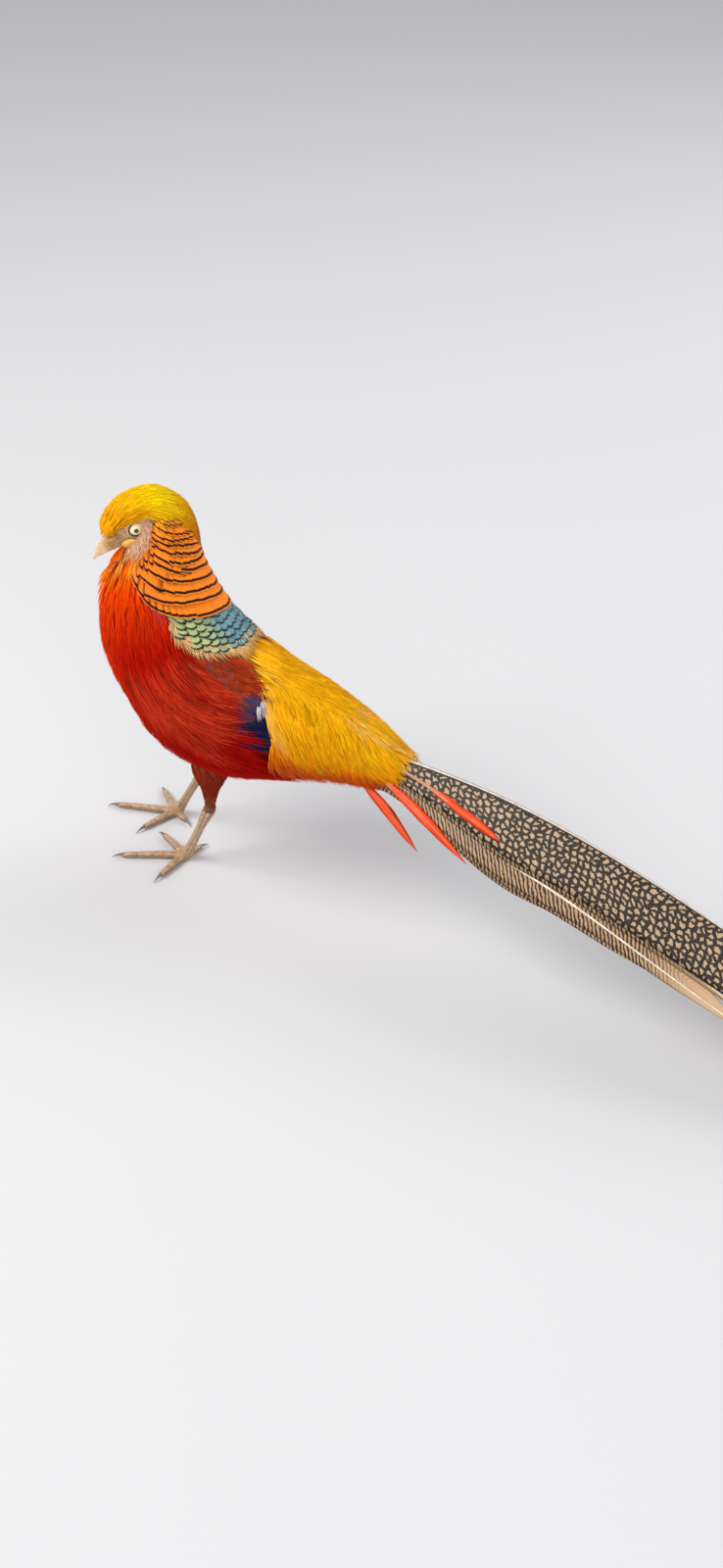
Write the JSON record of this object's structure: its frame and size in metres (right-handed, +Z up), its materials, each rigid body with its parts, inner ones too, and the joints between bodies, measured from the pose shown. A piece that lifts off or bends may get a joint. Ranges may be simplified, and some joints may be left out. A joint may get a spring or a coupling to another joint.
{
  "type": "golden pheasant",
  "caption": "Life-size male golden pheasant standing with its head turned to its left, a golden crest, barred cape, scarlet breast, golden rump and a long vaulted tail.",
  "frame": {"origin": "middle of the bottom of the bird's box, on the floor", "axes": "+Z up, the bird faces -Y and its tail points along +Y, its left side is +X"},
  "size_m": [0.172, 0.8756, 0.3251],
  "materials": {
    "crest": "silky golden-yellow hair-like feathers, buff bare face",
    "cape": "orange feathers barred with blue-black",
    "breast": "flesh under scarlet to crimson body feathers",
    "rump": "golden-yellow hair-like feathers",
    "wing": "maroon and dark blue flight feathers",
    "tail": "buff and black mottled vanes with scarlet coverts",
    "thigh": "flesh under short rusty-red feathers",
    "leg": "horn-yellow scaled skin",
    "claw": "horn",
    "bill": "pale horn",
    "eye": "wet eyeball, pale iris and dark pupil"
  },
  "bodies": {
    "root": {"head": "crest", "bill_upper": "bill", "bill_lower": "bill", "eye_left": "eye", "eye_right": "eye", "neck": "cape", "torso": "breast", "rump": "rump", "tail": "tail", "wing_left": "wing", "thigh_left": "thigh", "tarsus_left": "leg", "foot_left": "leg", "claw_inner_left": "claw", "claw_middle_left": "claw", "claw_outer_left": "claw", "claw_hind_left": "claw", "wing_right": "wing", "thigh_right": "thigh", "tarsus_right": "leg", "foot_right": "leg", "claw_inner_right": "claw", "claw_middle_right": "claw", "claw_outer_right": "claw", "claw_hind_right": "claw"}
  },
  "joints": []
}
